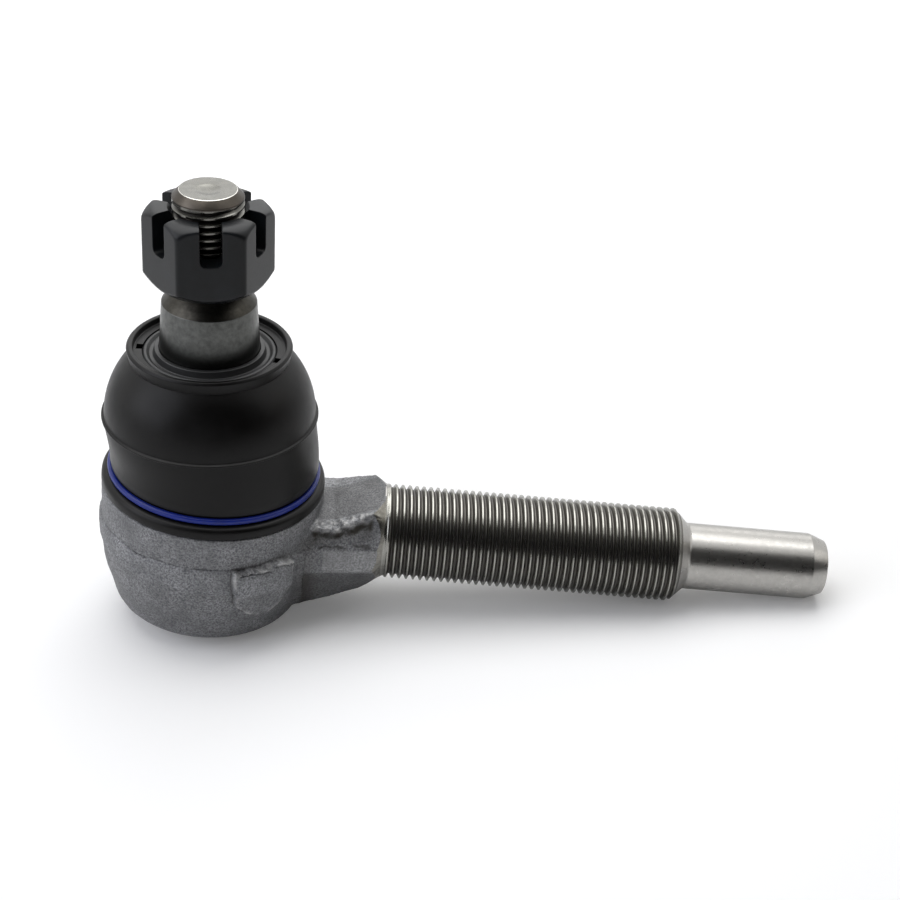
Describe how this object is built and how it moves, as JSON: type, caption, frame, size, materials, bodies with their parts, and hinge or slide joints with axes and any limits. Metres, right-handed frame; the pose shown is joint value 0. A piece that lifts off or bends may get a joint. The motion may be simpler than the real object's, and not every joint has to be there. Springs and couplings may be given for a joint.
{
  "type": "tie rod end",
  "caption": "Steering tie rod end: a forged socket with a threaded shank holds a tapered ball stud under a rubber dust boot, with a castle nut on the stud.",
  "frame": {"origin": "centre of the ball", "axes": "+Z along the socket's axis, out of its mouth; +X along the threaded shank; the stud leans 3.3 degrees towards -X at rest"},
  "size_m": [0.1552, 0.0462, 0.0943],
  "materials": {
    "forged_steel": "shot-blasted forging",
    "stud_steel": "turned and phosphated",
    "black_oxide_steel": "satin black oxide",
    "boot_rubber": "semi-gloss moulded",
    "ring_lacquer": "blue lacquer",
    "insert_polymer": "moulded",
    "seat_polymer": "natural acetal",
    "cover_steel": "pressed and zinc-plated",
    "spring_steel": "oiled"
  },
  "bodies": {
    "housing": {"forged_housing": "forged_steel", "upper_ball_seat": "seat_polymer", "preload_spring_washer": "spring_steel", "rolled_in_cover": "cover_steel", "boot_clamp_ring": "ring_lacquer"},
    "swivel": {"lower_ball_seat": "seat_polymer", "dust_boot": "boot_rubber"},
    "lip": {"boot_lip_insert": "insert_polymer"},
    "stud": {"ball_stud": "stud_steel"},
    "nut": {"castle_nut": "black_oxide_steel"}
  },
  "joints": [
    {"name": "socket_turn", "type": "hinge", "parent": "housing", "child": "swivel", "pos_m": [0, 0, 0], "axis": [0, 0, 1], "continuous": true},
    {"name": "stud_swing", "type": "hinge", "parent": "swivel", "child": "lip", "pos_m": [0, 0, 0], "axis": [0, 1, 0], "range_deg": [-16.7, 23.3], "deforming": ["dust_boot"]},
    {"name": "stud_spin", "type": "hinge", "parent": "lip", "child": "stud", "pos_m": [0, 0, 0], "axis": [-0.0576, 0, 0.9983], "continuous": true},
    {"name": "nut_turn", "type": "hinge", "parent": "stud", "child": "nut", "pos_m": [-0.00317, 0, 0.05491], "axis": [-0.0576, 0, 0.9983], "continuous": true}
  ]
}
